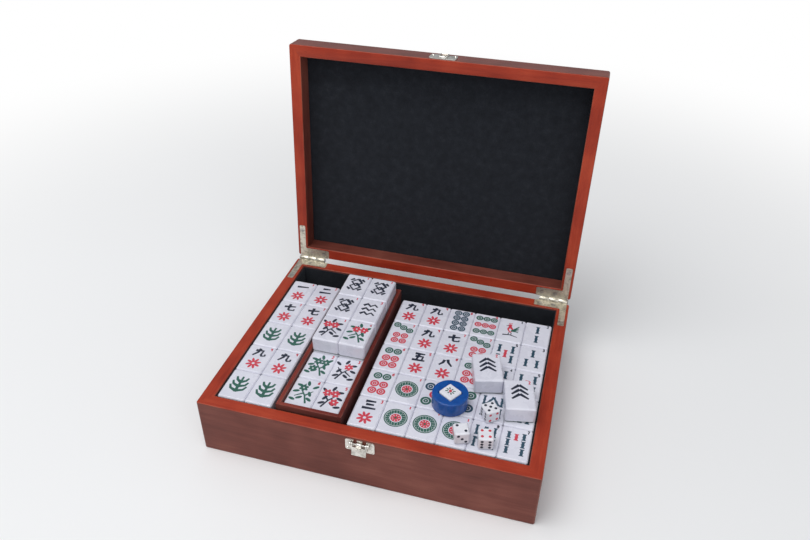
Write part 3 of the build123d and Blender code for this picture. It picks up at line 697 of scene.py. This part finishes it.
layer_faces("right", "upper", RIGHT_TOP)
layer_faces("left", "upper", LEFT_TOP)
layer_faces("tray", "upper", TRAY_TOP)
layer_faces("tray", "middle", TRAY_BELOW)
for start, (block, layer) in enumerate((("right", "middle"), ("right", "lower"), ("left", "middle"),
                                        ("left", "lower"), ("tray", "lower"))):
    layer_faces(block, layer, first=DECK_START * start)


def middle_of(name):
    low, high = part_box(name)
    return (low.x + high.x) / 2 / MM, (low.y + high.y) / 2 / MM, high.z


LOOSE_TILES = (("loose_tile_back", "back_loose_tile", "e2", 15.0),
               ("loose_tile_front", "front_loose_tile", "e2", 12.0))
for name, body, code, turn in LOOSE_TILES:
    x, y, top = middle_of(name)
    print_faces(f"{name}_face", body, top, [(code, x, y, turn)])


# ---------------------------------------------------------------- dice
PIP_PLACES = {
    1: [(0, 0)],
    2: [(-1, 1), (1, -1)],
    3: [(-1, 1), (0, 0), (1, -1)],
    4: [(-1, 1), (1, 1), (-1, -1), (1, -1)],
    5: [(-1, 1), (1, 1), (0, 0), (-1, -1), (1, -1)],
    6: [(-1, 1), (1, 1), (-1, 0), (1, 0), (-1, -1), (1, -1)],
}
PIP_SIDES = 16
# A spot is a low dome: each ring's share of the radius, and how far it stands out of the die's side.
PIP_RINGS = ((1.0, 0.01), (0.75, 0.035), (0.4, 0.05))
PIP_REACH = 2.5
PIP_RADIUS = 1.0
ONE_RADIUS = 1.6
CUBE_SIDES = (((0, 0, 1), (1, 0, 0)), ((0, -1, 0), (1, 0, 0)), ((1, 0, 0), (0, 1, 0)),
              ((0, 1, 0), (-1, 0, 0)), ((-1, 0, 0), (0, -1, 0)), ((0, 0, -1), (1, 0, 0)))


def pips(name, turn, counts):
    """Low round domes as a die's spots; counts are for its top, front, right, back, left and bottom."""
    low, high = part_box(name)
    middle, half = (low + high) / 2, (high.z - low.z) / 2
    spin = Matrix.Rotation(radians(turn), 3, "Z")
    shape = bmesh.new()
    for count, (out, along) in zip(counts, CUBE_SIDES):
        out, along = spin @ Vector(out), spin @ Vector(along)
        across = out.cross(along)
        radius = ONE_RADIUS if count == 1 else PIP_RADIUS
        ink = INK_ORDER.index("red" if count in (1, 4) else "black")
        for a, b in PIP_PLACES[count]:
            centre = middle + (along * a + across * b) * PIP_REACH * MM
            rings = []
            for reach, rise in PIP_RINGS:
                spots = []
                for i in range(PIP_SIDES):
                    step = 2 * pi * i / PIP_SIDES
                    flat = along * cos(step) + across * sin(step)
                    spot = centre + out * (half + rise * MM) + flat * reach * radius * MM
                    spots.append(shape.verts.new(spot))
                rings.append(spots)
            for outer, inner in zip(rings, rings[1:]):
                for i in range(PIP_SIDES):
                    shape.faces.new((outer[i - 1], outer[i], inner[i], inner[i - 1])).material_index = ink
            shape.faces.new(rings[-1]).material_index = ink
    make_piece(f"{name}_pips", shape, name)


WIND_DIE_TURN = 58.0
x, y, top = middle_of("wind_die")
cube_marks = strokes(WIND_FIGURES[4], "green", size=0.5, start=2.2, finish=1.4)
cube_marks.append(("red", oval(0, 0, 1.5, 0.9, 30, 14)))
print_marks("wind_die_figure", "wind_cube", top, [(cube_marks, x, y, WIND_DIE_TURN)])

pips("die_front_left", 20.0, (2, 3, 6, 4, 1, 5))
pips("die_front_right", 12.0, (4, 6, 5, 1, 2, 3))
pips("die_back", 38.0, (5, 4, 1, 3, 6, 2))

# ---------------------------------------------------------------- studio
KEY_PLACE = (-0.30, -0.30, 1.25)
KEY_SIZE = 0.9
KEY_POWER = 10.0
FILL_PLACE = (0.9, -1.3, 0.9)
FILL_SIZE = 1.2
FILL_POWER = 5.0
WORLD_LIGHT = (0.93, 0.96, 1.0)
WORLD_STRENGTH = 0.43
FLOOR_COLOUR = (0.90, 0.90, 0.90)
FLOOR_FADE = (0.22, 0.85)
FLOOR_REACH = 6.0


def area_light(name, place, size, power):
    light = bpy.data.lights.new(name, "AREA")
    light.size = size
    light.energy = power
    lamp = bpy.data.objects.new(name, light)
    lamp.location = place
    lamp.rotation_euler = (-Vector(place)).to_track_quat("-Z", "Y").to_euler()
    bpy.context.scene.collection.objects.link(lamp)


def make_world():
    """White to the camera and a soft even light to everything else."""
    world = bpy.data.worlds.new("studio")
    world.use_nodes = True
    bpy.context.scene.world = world
    tree = world.node_tree
    tree.nodes.clear()
    seen = add(tree, "LightPath").outputs
    shown = maths(tree, "MAXIMUM", seen["Is Camera Ray"], seen["Is Transmission Ray"])
    light = add(tree, "Background", {0: (*WORLD_LIGHT, 1), 1: WORLD_STRENGTH}).outputs[0]
    white = add(tree, "Background", {0: (1, 1, 1, 1), 1: 1.0}).outputs[0]
    mixed = add(tree, "MixShader", {0: shown, 1: light, 2: white}).outputs[0]
    add(tree, "OutputWorld", {0: mixed})


def make_floor():
    mesh = bpy.data.meshes.new("floor")
    corners = [(FLOOR_REACH * x, FLOOR_REACH * y, 0) for x, y in ((-1, -1), (1, -1), (1, 1), (-1, 1))]
    mesh.from_pydata(corners, [], [(0, 1, 2, 3)])
    material, tree, shader = new_material("floor_paper", Roughness=0.9, Specular_IOR_Level=0.2)
    shade = noise(tree, object_coordinates(tree), 3, 2)
    pale = tuple(0.985 * part for part in FLOOR_COLOUR)
    tree.links.new(ramp(tree, shade, (0.3, pale), (0.7, FLOOR_COLOUR)), shader.inputs["Base Color"])
    # Far from the case the paper fades to plain white for the camera alone.
    reach = add(tree, "VectorMath", {0: object_coordinates(tree)}, operation="LENGTH").outputs["Value"]
    camera_ray = add(tree, "LightPath").outputs["Is Camera Ray"]
    far = maths(tree, "MULTIPLY", band(tree, reach, *FLOOR_FADE), camera_ray)
    white = add(tree, "Emission", {0: (1, 1, 1, 1), 1: 1.0}).outputs[0]
    mixed = add(tree, "MixShader", {0: far, 1: shader.outputs[0], 2: white}).outputs[0]
    tree.links.new(mixed, tree.nodes["Material Output"].inputs[0])
    mesh.materials.append(material)
    floor = bpy.data.objects.new("floor", mesh)
    bpy.context.scene.collection.objects.link(floor)


make_world()
make_floor()
area_light("key", KEY_PLACE, KEY_SIZE, KEY_POWER)
area_light("fill", FILL_PLACE, FILL_SIZE, FILL_POWER)
bpy.context.scene.view_settings.view_transform = "Standard"
